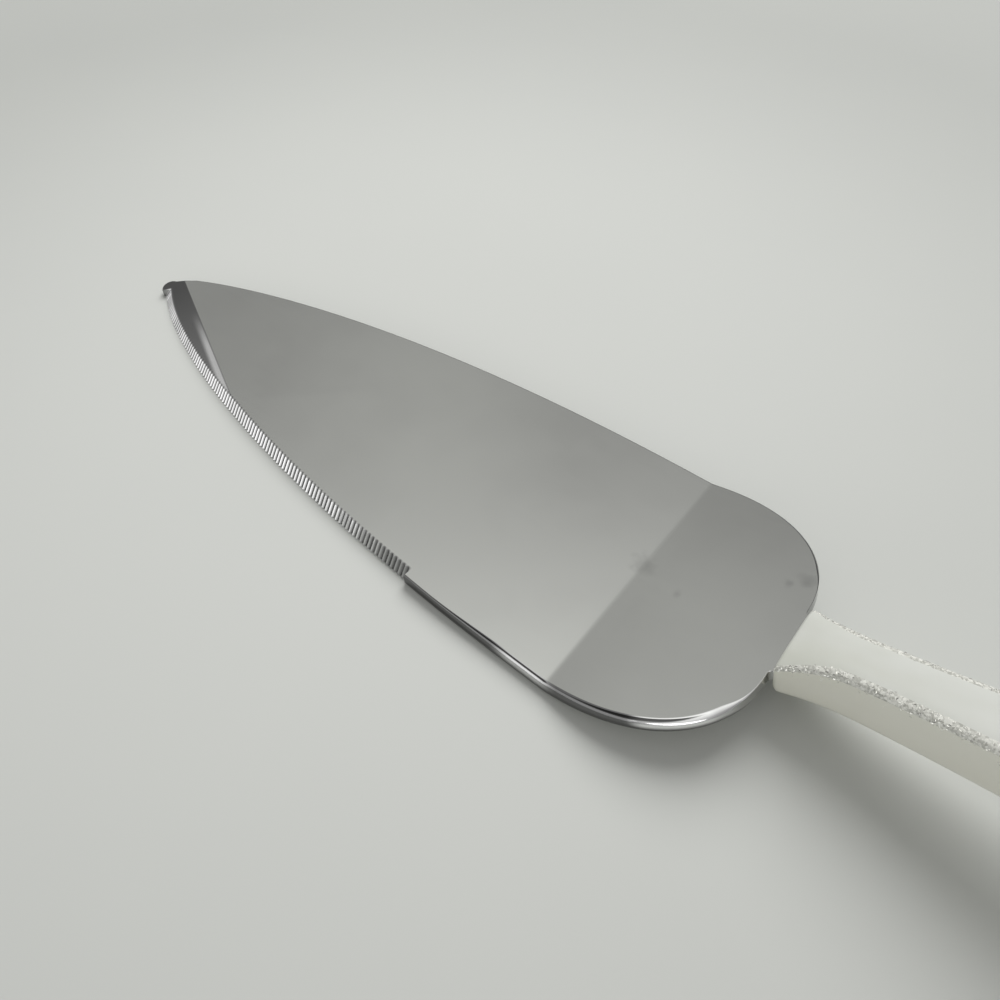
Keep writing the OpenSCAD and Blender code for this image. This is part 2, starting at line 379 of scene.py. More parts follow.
def strip_material():
    """Clear resin over pale grey, speckled by the finest glitter."""
    material, tree, principled = shader("glitter_resin", (0.5, 0.5, 0.46), 0.25)
    place = texture_place(tree, (1, 1, 1))
    cells = add(tree, "ShaderNodeTexVoronoi")
    cells.inputs["Scale"].default_value = 3200.0
    link(tree, place, cells.inputs["Vector"])
    speck = add(tree, "ShaderNodeSeparateColor")
    link(tree, cells.outputs["Color"], speck.inputs["Color"])
    colour = mix_colour(tree, speck.outputs["Red"], (0.4, 0.4, 0.36), (0.8, 0.8, 0.74))
    link(tree, colour, principled.inputs["Base Color"])
    principled.inputs["Coat Weight"].default_value = 0.6
    principled.inputs["Coat Roughness"].default_value = 0.08
    bump(tree, principled, speck.outputs["Green"], 0.5, 0.00008)
    return material


def flake_material():
    """Silver glitter flakes: each one is a small mirror, a little unlike the next."""
    material, tree, principled = shader("glitter", (0.9, 0.9, 0.86), 0.16, 0.9)
    place = texture_place(tree, (1, 1, 1))
    tint = noise(tree, place, 1500.0, 1.0, 0.5)
    colour = mix_colour(tree, tint, (0.84, 0.85, 0.83), (0.95, 0.94, 0.86))
    link(tree, colour, principled.inputs["Base Color"])
    return material


# Painted fall-off of light on the table: where it is palest, in metres, and from where to
# where it deepens
TABLE_PALE_PLACE = (-0.075, 0.03, 0.0)
TABLE_PALE_RANGE = (0.05, 0.24)


def table_material():
    """Matt pale table top with a very faint mottle, and painted shade that deepens it away
    from the blade.
    """
    material, tree, principled = shader("pale_table", (0.62, 0.63, 0.6), 0.7)
    place = texture_place(tree, (1, 1, 1))
    mottle = noise(tree, place, 9.0, 4.0, 0.55)
    colour = mix_colour(tree, mottle, (0.605, 0.617, 0.592), (0.635, 0.645, 0.615))
    reach = add(tree, "ShaderNodeVectorMath", operation="DISTANCE")
    reach.inputs[1].default_value = TABLE_PALE_PLACE
    link(tree, place, reach.inputs[0])
    # Painted shade: the table grows darker away from its palest place
    far_off = soft_range(tree, reach.outputs["Value"], *TABLE_PALE_RANGE)
    painted_shade_colour = mix_colour(tree, mottle, (0.465, 0.475, 0.455), (0.49, 0.5, 0.475))
    colour = blend(tree, far_off, colour, painted_shade_colour)
    link(tree, colour, principled.inputs["Base Color"])
    principled.inputs["Specular IOR Level"].default_value = 0.2
    return material


# ----------------------------------------------------------------------- blade

BEND_REACH = 0.4
BEND_R = BEND_REACH / math.tan(BEND_ANGLE / 2)
BEND_STEPS = 4
# Steps of the outline's lines: plain edges, the ground edge, and the fine lines
PLAIN_STEP = 0.3
GROUND_STEP = 0.13
LEAF_FINE = 30000
TIP_FINE = 4000
NOSE_STEPS = 40
NECK_STEPS = 10
CORNER_STEPS = 56
NECK_EASE = 0.3
# How far the ground edge's flat faces stay inside its bevel
BEVEL_GAP = 0.25
GROOVE_POWER = 0.8
# The bevel's width at the heel's end, and how much it grows toward the tip
BEVEL_HEEL_W = 1.45
BEVEL_GROWTH = 0.85
BEVEL_GROWTH_POWER = 3


def sheet_point(run, y, height):
    """Place of a sheet point: run along it from the bend, height above its underside."""
    cos_b, sin_b = math.cos(BEND_ANGLE), math.sin(BEND_ANGLE)
    if run <= -BEND_REACH:
        return (CREASE_X + run, y, height)
    if run >= BEND_REACH:
        below = height - SHEET_T
        return (
            CREASE_X + run * cos_b - below * sin_b,
            y,
            SHEET_T + run * sin_b + below * cos_b,
        )
    angle = BEND_ANGLE * (run + BEND_REACH) / (2 * BEND_REACH)
    reach = BEND_R + SHEET_T - height
    return (
        CREASE_X - BEND_REACH + reach * math.sin(angle),
        y,
        SHEET_T + BEND_R - reach * math.cos(angle),
    )


def leaf_half(run):
    """Half width of the plain leaf-shaped front."""
    share = min(1, -run / LEAF_L)
    return BLADE_W / 2 * (1 - share**LEAF_LENGTH_POWER) ** LEAF_WIDTH_POWER


def spaced(points, step):
    """Points of a fine line, kept about one step apart, with both ends."""
    kept, travelled = [points[0]], 0.0
    for before, after in zip(points, points[1:]):
        travelled += math.dist(before, after)
        if travelled >= step:
            kept.append(after)
            travelled = 0.0
    kept[-1] = points[-1]
    return kept


def near_bulge(run):
    """How far the serrated side bulges beyond the plain leaf."""
    share = min(1, -run / LEAF_L)
    return NEAR_BULGE * math.sin(math.radians(90) * share) ** BULGE_POWER


def leaf_line(start, end, side, inset=0.0):
    """Line of the leaf outline between two runs, or of the ground edge inside it."""
    runs = [start + (end - start) * i / LEAF_FINE for i in range(LEAF_FINE + 1)]
    along, across = 1 - inset / LEAF_L, 1 - 2 * inset / BLADE_W
    line = []
    for run in runs:
        half = leaf_half(run) + (near_bulge(run) if side < 0 else 0.0)
        line.append((run * along, side * half * across))
    return line


def far_tip(centre):
    """Straight end of the far side, from the leaf to the round nose."""
    start_run = -LEAF_END_SHARE * LEAF_L
    start = Vector((start_run, leaf_half(start_run)))
    toward = Vector((math.cos(NOSE_ANGLE), math.sin(NOSE_ANGLE)))
    end = centre + toward * NOSE_END_SHARE * NOSE_R
    line = [start.lerp(end, i / TIP_FINE) for i in range(TIP_FINE + 1)]
    line = [place for place in line if (place - centre).length >= NOSE_R]
    return [tuple(place) for place in line]


def heel_points():
    """Half outline of the heel, from the tang's end to the bend."""
    corner_l = HEEL_L - NECK_R - FULL_WIDTH_L
    corner_h = BLADE_W / 2 - NECK_W / 2 - NECK_R
    points = [
        (HEEL_L + TANG_L, TANG_W / 2),
        (HEEL_L + NECK_EASE, TANG_W / 2),
        (HEEL_L, TANG_W / 2 + NECK_EASE),
        (HEEL_L, NECK_W / 2 - NECK_EASE),
    ]
    for i in range(NECK_STEPS + 1):
        angle = math.radians(90) * i / NECK_STEPS
        points.append(
            (
                HEEL_L - NECK_R * math.sin(angle),
                NECK_W / 2 + NECK_R * (1 - math.cos(angle)),
            )
        )
    for i in range(1, CORNER_STEPS):
        angle = math.radians(90) * (1 - i / CORNER_STEPS)
        points.append(
            (
                FULL_WIDTH_L + corner_l * math.sin(angle) ** (2 / CORNER_POWER),
                NECK_W / 2 + NECK_R + corner_h * math.cos(angle) ** (2 / CORNER_POWER),
            )
        )
    points.append((FULL_WIDTH_L, BLADE_W / 2))
    return points


def rim_normals(points):
    """Outward plan normal at each point of a line that runs anticlockwise."""
    normals = []
    count = len(points)
    for i, here in enumerate(points):
        lines = []
        if i > 0:
            lines.append(Vector(here) - Vector(points[i - 1]))
        if i < count - 1:
            lines.append(Vector(points[i + 1]) - Vector(here))
        normal = Vector((0.0, 0.0))
        for line in lines:
            if line.length:
                line.normalize()
                normal += Vector((line.y, -line.x))
        normals.append(normal.normalized())
    return normals


def grind_line():
    """The ground flat's straight edge, from the near edge to the nose."""
    nose_run = -(FRONT_L - GRIND_NOSE)
    out_run = -(FRONT_L - GRIND_L)
    nose = Vector((nose_run, leaf_half(nose_run)))
    runout = Vector((out_run, -leaf_half(out_run)))
    line = (nose - runout).normalized()
    return runout, Vector((-line.y, line.x))


def grind_cap(run, y):
    """Height that the ground flat beside the tip leaves at a point."""
    runout, across = grind_line()
    beyond = (Vector((run, y)) - runout).dot(across)
    return SHEET_T - max(0.0, beyond) * math.tan(GRIND_ANGLE)


def blade_outline():
    """The blade's outline, anticlockwise from the tang's far corner.

    Each point has its run and y, its outward normal and what it is part of. On the
    nose it has the arc's first angle and its share of the arc instead.
    """
    bends = [BEND_REACH - 2 * BEND_REACH * i / BEND_STEPS for i in range(BEND_STEPS + 1)]
    heel = heel_points() + [(run, BLADE_W / 2) for run in bends]
    centre = Vector((NOSE_R - FRONT_L, -NOSE_SIDE))
    far = leaf_line(-BEND_REACH - 0.2, -LEAF_END_SHARE * LEAF_L, 1)
    far = spaced(far + far_tip(centre)[1:], PLAIN_STEP)
    corner = Vector(far[-1]) - centre
    far_angle = math.atan2(corner.y, corner.x)
    hook_run = HOOK_L - FRONT_L
    ground = leaf_line(hook_run, -SERRATION_START, -1, EDGE_INSET)
    ground = spaced(ground, GROUND_STEP)
    near = leaf_line(-SERRATION_START + 0.1, -BEND_REACH - 0.2, -1)
    near = spaced(near, PLAIN_STEP)

    plain_far = heel + far
    plain_near = near + [(run, -y) for run, y in reversed(heel)]
    outline = []
    rim = rim_normals(plain_far)
    outline += [(p, n, "far") for p, n in zip(plain_far, rim)]
    for i in range(1, NOSE_STEPS + 1):
        outline.append(((far_angle, i / NOSE_STEPS), None, "nose"))
    outline += [(p, n, "ground") for p, n in zip(ground, rim_normals(ground))]
    rim = rim_normals(plain_near)
    outline += [(p, n, "near") for p, n in zip(plain_near, rim)]
    return outline, len(heel)


def nose_place(far_angle, share, inset):
    """A point of the round nose, drawn in by an inset: it ends at the hook's face."""
    radius = NOSE_R - inset
    end_angle = 2 * math.pi - math.acos((HOOK_L - NOSE_R) / radius)
    angle = far_angle + (end_angle - far_angle) * share
    run = NOSE_R - FRONT_L + radius * math.cos(angle)
    return run, -NOSE_SIDE + radius * math.sin(angle)


# Plain edge: for each ring, how far in it lies, its height in sheets and a lift
PLAIN_RINGS = (
    (1.08, 1.0, 0.0),
    (0.96, 1.0, 0.0),
    (0.8, 1.0, -0.04),
    (0.64, 1.0, -0.16),
    (0.5, 1.0, -0.32),
    (0.14, 1.0, -0.76),
    (0.03, 0.0, 1.2),
    (0.0, 0.0, 0.5),
    (0.1, 0.0, 0.15),
    (0.3, 0.0, 0.0),
)
# Ground edge: for each ring, its height as a share of the sheet's top there
BEVEL_SHARES = (1.0, 1.0, 0.93, 0.75, 0.55, 0.4, 0.25, 0.12, 0.04, 0.0)


def bevel_width(run):
    """Width of the ground bevel at the full sheet's height: it grows toward the tip."""
    return BEVEL_HEEL_W + BEVEL_GROWTH * (-run / LEAF_L) ** BEVEL_GROWTH_POWER


def rim_scale(run, part):
    """Size of the rim's rounding: wide at the bend's near side, slight elsewhere."""
    scale = 0.42
    if part == "near":
        scale = 0.4 + 0.6 * smoothstep(-26, -8, run)
    return scale * (1 - 0.88 * smoothstep(25.5, 27.8, run))


def rim_painted_light(run, ring, part):
    """Painted light of the plain rim: painted highlights beside the bend and at the heel's
    corner, painted shade elsewhere and on its lower rings.
    """
    if ring > 6:
        return 0.2
    if part != "near":
        return 0.26 if part == "nose" else 0.16
    shade = 0.14 + 0.36 * (smoothstep(-12, -7, run) - smoothstep(-2, 2, run))
    shade += 0.66 * (smoothstep(14, 17, run) - smoothstep(24.4, 25.4, run))
    return min(1.0, shade + 0.55 * smoothstep(24.4, 25.4, run))


def rib_painted_light(share, groove_share):
    """Painted light of the serrations: painted highlights on the crests, painted shade in
    the grooves.

    The share runs from the step at the heel's end of the edge to the nose.
    """
    crest = 0.45 + 0.55 * smoothstep(0.0, 0.2, share)
    crest -= 0.3 * smoothstep(0.6, 0.95, share) + 0.3 * smoothstep(0.96, 0.98, share)
    groove = 0.1 - 0.09 * smoothstep(0.0, 0.25, share) + 0.06 * smoothstep(0.75, 1.0, share)
    return crest + (groove - crest) * groove_share


def build_blade(material):
    """The sheet, ring by ring from its top face round the rim to its underside.

    Its points carry two values for the steel: "edge" on the rim, and its "shade", the
    painted highlights and painted shade of the rim and serrations.
    """
    outline, heel_count = blade_outline()
    rings = [[] for _ in PLAIN_RINGS]
    last_ring = len(PLAIN_RINGS) - 1
    verts, edges, painted_levels = [], [], []
    travelled, before = 0.0, None
    for place, normal, part in outline:
        if part == "ground":
            travelled += math.dist(place, before) if before else 0.0
            before = place
        phase = (travelled / SERRATION_PITCH) % 1
        groove_share = 0.0
        if part == "ground":
            groove_share = (1 - abs(2 * phase - 1)) ** GROOVE_POWER
        groove = SERRATION_DEPTH * groove_share
        for ring, (inset, level, lift) in enumerate(PLAIN_RINGS):
            scale = 1.0 if ring == last_ring else rim_scale(place[0], part)
            inset, lift = inset * scale, lift * scale
            height = level * SHEET_T + lift
            if part == "nose":
                run, y = nose_place(*place, inset)
            elif part == "ground":
                width = bevel_width(place[0])
                top = SHEET_T
                for _ in range(3):
                    probe = width * top / SHEET_T
                    run, y = place[0] - normal.x * probe, place[1] - normal.y * probe
                    top = min(SHEET_T, grind_cap(run, y))
                height = BEVEL_SHARES[ring] * top
                inset = width * height / SHEET_T + groove
                if ring == 0:
                    inset += SERRATION_DEPTH + BEVEL_GAP - groove
                if ring == last_ring:
                    inset += BEVEL_GAP
                run, y = place[0] - normal.x * inset, place[1] - normal.y * inset
            else:
                run, y = place[0] - normal.x * inset, place[1] - normal.y * inset
            if level == 1.0 or part == "ground":
                drop = 0.0 if part == "ground" else min(0.0, lift)
                height = min(height, grind_cap(run, y) + drop)
            rings[ring].append(len(verts))
            verts.append(sheet_point(run, y, max(0.0, height)))
            on_edge = 0 < ring < last_ring
            edges.append(1.0 if on_edge else 0.0)
            # Painted highlights and painted shade of the serrations and the plain rim
            if part == "ground":
                share = (-place[0] - SERRATION_START) / (FRONT_L - SERRATION_START)
                painted_levels.append(rib_painted_light(share, groove_share))
            else:
                painted_levels.append(rim_painted_light(place[0], ring, part))
    faces = []
    for upper, lower in zip(rings, rings[1:]):
        faces += bridge(upper, lower)
    flat_start = len(faces)
    faces += flat_faces(rings[0], heel_count, verts, True)
    faces += flat_faces(rings[-1], heel_count, verts, False)
    piece = new_piece(
        "blade_steel",
        verts,
        faces,
        material,
        "blade",
        range(flat_start, len(faces)),
    )
    for name, values in (("edge", edges), ("shade", painted_levels)):
        layer = piece.data.attributes.new(name, "FLOAT", "POINT")
        layer.data.foreach_set("value", values)
    mark_sharp(piece, 38)
    return piece


def flat_faces(loop, heel_count, verts, upper):
    """Flat faces inside a ring: heel, strips of the bend, front and ground flat."""
    count = len(loop)
    first, last = heel_count - BEND_STEPS - 1, heel_count - 1
    parts = [loop[: first + 1] + loop[count - 1 - first :]]
    for k in range(first, last):
        parts.append((loop[k], loop[k + 1], loop[count - 2 - k], loop[count - 1 - k]))
    front = range(last, count - last)
    if upper:
        lowered = [
            k
            for k in front
            if grind_cap(verts[loop[k]][0] - CREASE_X, verts[loop[k]][1]) < SHEET_T - 1e-6
        ]
        low, high = min(lowered) - 1, max(lowered) + 1
        parts.append([loop[k] for k in front if k <= low or k >= high])
        parts.append([loop[k] for k in front if low <= k <= high])
    else:
        parts.append([loop[k] for k in front])
    return [tuple(reversed(part)) if upper else tuple(part) for part in parts]


# ---------------------------------------------------------------------- handle


def handle_point(x, y, z):
    """Place of a handle point: x along it from its front, z above the steel's top."""
    cos_b, sin_b = math.cos(BEND_ANGLE), math.sin(BEND_ANGLE)
    run = HEEL_L + x
    return (CREASE_X + run * cos_b - z * sin_b, y, SHEET_T + run * sin_b + z * cos_b)


def arch_z(x):
    """How far the arch lowers the handle behind its straight front."""
    return -max(0, x - STRAIGHT_L) ** 2 / (2 * ARCH_R)


def waist_share(x):
    """Share of the way from the handle's front to its waist."""
    return 1 - (1 - x / WAIST_L) ** 2 if x < WAIST_L else 1


def top_line(x):
    """Height of the handle's top line above the steel."""
    return TOP_RISE + RISE_SHARE * (WAIST_H - FRONT_H) * waist_share(x) + arch_z(x)


def seam_z(x):
    """Height of the seam between the shell and the cover."""
    return top_line(x) - COVER_T


def bottom_z(x):
    """Height of the handle's underside."""
    beyond = max(0, x - WAIST_L) / (HANDLE_L - WAIST_L)
    height = FRONT_H + (WAIST_H - FRONT_H) * waist_share(x)
    return top_line(x) - height - (REAR_H - WAIST_H) * beyond


def half_width(x):
    """Half width of the whole handle."""
    turn = math.pi * max(0, x - WAIST_L) / (HANDLE_L - WAIST_L)
    half = FRONT_W / 2 - (FRONT_W - WAIST_W) / 2 * waist_share(x)
    half += (REAR_W - WAIST_W) / 2 * (1 - math.cos(turn)) / 2
    if x > STRIP_L:
        half *= math.sqrt(max(0, 1 - ((x - STRIP_L) / END_R) ** 2))
    return half


# Roundings of the handle, finer than the solids have them
CROWN = 0.7
TOP_CORNER_R = 0.5
BOTTOM_CORNER_R = 2.6
FRONT_ROUND = 0.9
END_ROUND = 3.0
REAR_ROUND = 1.2
FRONT_DROP = 0.7
REAR_DROP = 0.8
FRONT_DRAW = 0.55


def top_z(x, y):
    """Height of the crowned top, with its rounded long edges."""
    half = max(half_width(x), 1e-6)
    share = min(1, abs(y) / half)
    corner = min(TOP_CORNER_R, half)
    over = max(0, (abs(y) - (half - corner)) / corner)
    drop = corner * (1 - math.sqrt(max(0, 1 - min(1, over) ** 2)))
    return top_line(x) - CROWN * share**4 - drop - end_drop(x)


def end_drop(x):
    """How far the top is rounded down at the handle's two ends."""
    front = max(0, FRONT_ROUND - x) / FRONT_ROUND
    rear = max(0, x - (HANDLE_L - REAR_ROUND)) / REAR_ROUND
    return FRONT_DROP * (1 - math.sqrt(max(0, 1 - front**2))) + REAR_DROP * (
        1 - math.sqrt(max(0, 1 - min(1, rear) ** 2))
    )


def handle_stations():
    """Places of the handle's sections, closest together at its rounded ends."""
    stations = [0, 0.04, 0.12, 0.25, 0.42, 0.65, 0.9, 1.3, 2, 3]
    stations += [4 + 1.25 * i for i in range(int((STRIP_L - 4) / 1.25) + 1)]
    stations = [x for x in stations if x < STRIP_L - 0.2]
    steps = 26
    stations += [
        STRIP_L + END_R * math.sin(math.radians(90) * i / steps) for i in range(steps)
    ]
    return stations + [HANDLE_L - 0.003]


def inner_half(x):
    """Half width of the cover, between the glitter strips, which taper at their ends."""
    width = STRIP_W * (0.5 + 0.5 * smoothstep(0, 9, x))
    width *= 1 - smoothstep(STRIP_L - 5, STRIP_L - 0.5, x)
    return max(half_width(x) - width, half_width(x) * 0.2)


def front_inset(x):
    """How far the front's rounding draws the sides in."""
    share = max(0, FRONT_ROUND - x) / FRONT_ROUND
    return FRONT_DRAW * (1 - math.sqrt(max(0, 1 - share**2)))


def build_base(material):
    """Lower shell: straight sides, rounded underside, rounded ends."""
    stations = handle_stations()
    loops, verts = [], []
    arc = 10
    for x in stations:
        inset = front_inset(x)
        half = half_width(x) - inset
        rear = max(0, (x - (HANDLE_L - END_ROUND)) / END_ROUND)
        lift = END_ROUND * (1 - math.sqrt(max(0, 1 - rear**2)))
        low = bottom_z(x) + inset * 1.6 + lift
        seam = seam_z(x)
        corner = min(BOTTOM_CORNER_R, half * 0.9, (seam - low) * 0.45)
        ring = [(half, seam - 0.02)]
        for k in range(1, 4):
            ring.append((half, seam + (low + corner - seam) * k / 4))
        for k in range(arc + 1):
            angle = math.radians(90) * k / arc
            ring.append(
                (
                    half - corner * (1 - math.cos(angle)),
                    low + corner - corner * math.sin(angle),
                )
            )
        ring.append(((half - corner) / 2, low))
        ring = ring + [(0, low)] + [(-y, z) for y, z in reversed(ring)]
        loops.append(range(len(verts), len(verts) + len(ring)))
        verts += [handle_point(x, y, z) for y, z in ring]
    faces = []
    for before, after in zip(loops, loops[1:]):
        faces += bridge(list(after), list(before))
    flat_start = len(faces)
    faces.append(tuple(loops[0]))
    faces.append(tuple(reversed(loops[-1])))
    piece = new_piece(
        "pearl_base",
        verts,
        faces,
        material,
        "handle_base",
        range(flat_start, len(faces)),
    )
    mark_sharp(piece, 35)
    return piece


def build_cover(material):
    """Top cover between the strips: a crowned pearl plate."""
    loops, verts = [], []
    across = 24
    for x in handle_stations():
        inset = front_inset(x)
        half = max(inner_half(x) - inset, 0.001)
        seam = seam_z(x)
        ring = []
        for k in range(across + 1):
            y = half * math.cos(math.pi * k / across)
            ring.append((y, max(top_z(x, y), seam + 0.1)))
        ring += [(-half, seam), (half, seam)]
        loops.append(range(len(verts), len(verts) + len(ring)))
        verts += [handle_point(x, y, z) for y, z in ring]
    faces = []
    for before, after in zip(loops, loops[1:]):
        faces += bridge(list(before), list(after))
    flat_start = len(faces)
    faces.append(tuple(reversed(loops[0])))
    faces.append(tuple(loops[-1]))
    piece = new_piece(
        "pearl_cover",
        verts,
        faces,
        material,
        "handle_cover",
        range(flat_start, len(faces)),
    )
    mark_sharp(piece, 40)
    return piece


def strip_ring(x, side):
    """Section of a glitter strip: a bar with a rounded outer corner."""
    inset = front_inset(x)
    outer = half_width(x) - inset
    inner = inner_half(x) - inset
    seam = seam_z(x)
    ring = []
    across = 10
    for k in range(across + 1):
        y = inner + (outer - inner) * math.sin(math.radians(90) * k / across)
        ring.append((side * y, max(top_z(x, min(y + inset, half_width(x))), seam + 0.05)))
    ring += [(side * outer, seam), (side * inner, seam)]
    return ring


def build_strip(name, side, node, material):
    """One glitter strip along a top edge of the handle."""
    loops, verts = [], []
    for x in handle_stations():
        if x > STRIP_L - 0.6:
            break
        ring = strip_ring(x, side)
        loops.append(range(len(verts), len(verts) + len(ring)))
        verts += [handle_point(x, y, z) for y, z in ring]
    faces = []
    for before, after in zip(loops, loops[1:]):
        quads = bridge(list(before), list(after))
        faces += quads if side < 0 else [tuple(reversed(q)) for q in quads]
    flat_start = len(faces)
    faces.append(tuple(loops[0]))
    faces.append(tuple(reversed(loops[-1])))
    piece = new_piece(
        name, verts, faces, material, node, range(flat_start, len(faces))
    )
    bm = bmesh.new()
    bm.from_mesh(piece.data)
    bmesh.ops.recalc_face_normals(bm, faces=bm.faces)
    bm.to_mesh(piece.data)
    bm.free()
    mark_sharp(piece, 40)
    return piece


FLAKE_COUNT = 1200
FLAKE_SPILL_SHARE = 0.16
FLAKE_SPILL_SPREAD = 0.55
FLAKE_RADII = (0.12, 0.27)
FLAKE_TILT = math.radians(26)
FLAKE_SINK = 0.05
FLAKE_HALF_T = 0.03


def build_flakes(name, side, node, material, seed):
    """Loose glitter flakes on and just below a strip: thin six-sided plates."""
    rand = random.Random(seed)
    verts, faces = [], []
    for _ in range(FLAKE_COUNT):
        x = rand.uniform(0.6, STRIP_L - 2)
        ring = strip_ring(x, side)[:-2]
        ring.append((ring[-1][0], seam_z(x)))
        lengths = [math.dist(a, b) for a, b in zip(ring, ring[1:])]
        total = sum(lengths)
        spill = rand.random() < FLAKE_SPILL_SHARE
        pick = rand.uniform(0, total)
        k = 0
        while k < len(lengths) - 1 and pick > lengths[k]:
            pick -= lengths[k]
            k += 1
        share = pick / max(lengths[k], 1e-6)
        y = ring[k][0] + (ring[k + 1][0] - ring[k][0]) * share
        z = ring[k][1] + (ring[k + 1][1] - ring[k][1]) * share
        out = Vector(
            (0, side * abs(ring[k + 1][1] - ring[k][1]), abs(ring[k + 1][0] - ring[k][0]))
        )
        if spill:
            y = side * half_width(x)
            z = seam_z(x) - abs(rand.gauss(0, FLAKE_SPILL_SPREAD))
            out = Vector((0, side, 0))
        out.normalize()
        size = rand.uniform(*FLAKE_RADII)
        tilt = rand.uniform(0, FLAKE_TILT)
        spin = rand.uniform(0, 2 * math.pi)
        first = out.orthogonal().normalized()
        first.rotate(Matrix.Rotation(spin, 3, out))
        normal = out.copy()
        normal.rotate(Matrix.Rotation(tilt, 3, first))
        second = normal.cross(first).normalized()
        centre = Vector((x, y, z)) - out * FLAKE_SINK
        base = len(verts)
        for level in (FLAKE_HALF_T, -FLAKE_HALF_T):
            for corner in range(6):
                angle = math.radians(60) * corner
                point = (
                    centre
                    + first * size * math.cos(angle)
                    + second * size * math.sin(angle)
                    + normal * level
                )
                verts.append(handle_point(*point))
        faces.append(tuple(range(base, base + 6)))
        faces.append(tuple(range(base + 11, base + 5, -1)))
        for corner in range(6):
            after = (corner + 1) % 6
            faces.append((base + corner, base + 6 + corner, base + 6 + after, base + after))
    return new_piece(
        name, verts, faces, material, node, range(len(faces))
    )


def build_bond(material):
    """Resin round the tang, rounded off at its front end."""
    verts, faces, loops = [], [], []
    half = TANG_W / 2 + BOND_GAP
    low, high = -SHEET_T - BOND_GAP, BOND_GAP
    for x, grow in ((0.1, -0.35), (0.25, -0.12), (0.5, 0.0), (TANG_L + BOND_GAP, 0.0)):
        ring = []
        corner = 0.5
        for cy, cz, start in (
            (half - corner, high - corner, 0),
            (-half + corner, high - corner, 90),
            (-half + corner, low + corner, 180),
            (half - corner, low + corner, 270),
        ):
            for k in range(5):
                angle = math.radians(start + 90 * k / 4)
                ring.append(
                    (
                        cy + (corner + grow) * math.cos(angle),
                        cz + (corner + grow) * math.sin(angle),
                    )
                )
        loops.append(range(len(verts), len(verts) + len(ring)))
        verts += [handle_point(x, y, z) for y, z in ring]
    for before, after in zip(loops, loops[1:]):
        faces += bridge(list(before), list(after))
    faces.append(tuple(reversed(loops[0])))
    faces.append(tuple(loops[-1]))
    piece = new_piece(
        "tang_resin", verts, faces, material, "tang_bond"
    )
    mark_sharp(piece, 35)
    return piece


# ----------------------------------------------------------------------- stage


# The table, in metres: half its width, and how far it lies below the blade
TABLE_REACH = 4.0
TABLE_STEPS = 8
TABLE_DROP = 0.00005


def build_table():
    """A wide flat table top under the server."""
    material = table_material()
    mesh = bpy.data.meshes.new("table_top")
    reach, steps = TABLE_REACH, TABLE_STEPS
    grid = [
        (-reach + 2 * reach * i / steps, -reach + 2 * reach * j / steps, -TABLE_DROP)
        for j in range(steps + 1)
        for i in range(steps + 1)
    ]
    faces = []
    for j in range(steps):
        for i in range(steps):
            k = j * (steps + 1) + i
            faces.append((k, k + 1, k + steps + 2, k + steps + 1))
    mesh.from_pydata(grid, [], faces)
    table = bpy.data.objects.new("table_top", mesh)
    mesh.materials.append(material)
    bpy.context.scene.collection.objects.link(table)


# World: grey levels against how far a direction points up and to the front
ROOM_UP = (0.15, -0.3, 1.0)
ROOM_LEVELS = ((0.3, 0.37), (0.48, 0.45), (0.56, 0.55), (0.7, 0.85))
# The dark of a person above the blade, and a paler part of the room
VIEWER_TOWARD = (0.0, -0.65, 0.76)
VIEWER_RANGE = (0.8, 0.92)
PALE_TOWARD = (-0.53, 0.47, 0.705)
PALE_RANGE = (0.98, 0.999)
PALE_SHARE = 0.5


def facing(tree, place, toward):
    """How closely a direction of the world points along a given one."""
    node = add(tree, "ShaderNodeVectorMath", operation="DOT_PRODUCT")
    node.inputs[1].default_value = Vector(toward).normalized()
    link(tree, place.outputs["Generated"], node.inputs[0])
    return node.outputs["Value"]


def build_world():
    """A soft grey studio: dim near the horizon, brighter overhead.

    Glossy rays see this room, the camera sees a plain pale grey, and all other rays
    get an even grey fill.
    """
    world = bpy.data.worlds.new("soft_studio")
    bpy.context.scene.world = world
    world.use_nodes = True
    tree = world.node_tree
    background = tree.nodes["Background"]
    place = add(tree, "ShaderNodeTexCoord")
    ramp = add(tree, "ShaderNodeValToRGB")
    stops = ramp.color_ramp.elements
    stops[0].position, stops[0].color = 0.0, (0.34, 0.34, 0.335, 1)
    stops[1].position, stops[1].color = 1.0, (1.25, 1.26, 1.22, 1)
    for position, level in ROOM_LEVELS:
        stop = stops.new(position)
        stop.color = (level, level, level * 0.985, 1)
    link(tree, facing(tree, place, ROOM_UP), ramp.inputs["Fac"])
    dark = soft_range(tree, facing(tree, place, VIEWER_TOWARD), *VIEWER_RANGE)
    room = add(tree, "ShaderNodeMix", data_type="RGBA")
    room.inputs["B"].default_value = (0.1, 0.1, 0.097, 1)
    link(tree, dark, room.inputs["Factor"])
    link(tree, ramp.outputs["Color"], room.inputs["A"])
    pale = soft_range(tree, facing(tree, place, PALE_TOWARD), *PALE_RANGE)
    gather = maths(tree, "MULTIPLY", pale, PALE_SHARE)
    glow = add(tree, "ShaderNodeMix", data_type="RGBA")
    glow.inputs["B"].default_value = (0.68, 0.685, 0.665, 1)
    link(tree, gather, glow.inputs["Factor"])
    link(tree, room.outputs["Result"], glow.inputs["A"])
    seen = add(tree, "ShaderNodeLightPath")
    mix = add(tree, "ShaderNodeMix", data_type="RGBA")
    mix.inputs["B"].default_value = (0.62, 0.63, 0.6, 1)
    fill = add(tree, "ShaderNodeMix", data_type="RGBA")
    fill.inputs["A"].default_value = (0.4, 0.4, 0.395, 1)
    link(tree, glow.outputs["Result"], fill.inputs["B"])
    link(tree, seen.outputs["Is Glossy Ray"], fill.inputs["Factor"])
    link(tree, fill.outputs["Result"], mix.inputs["A"])
    link(tree, seen.outputs["Is Camera Ray"], mix.inputs["Factor"])
    link(tree, mix.outputs["Result"], background.inputs["Color"])


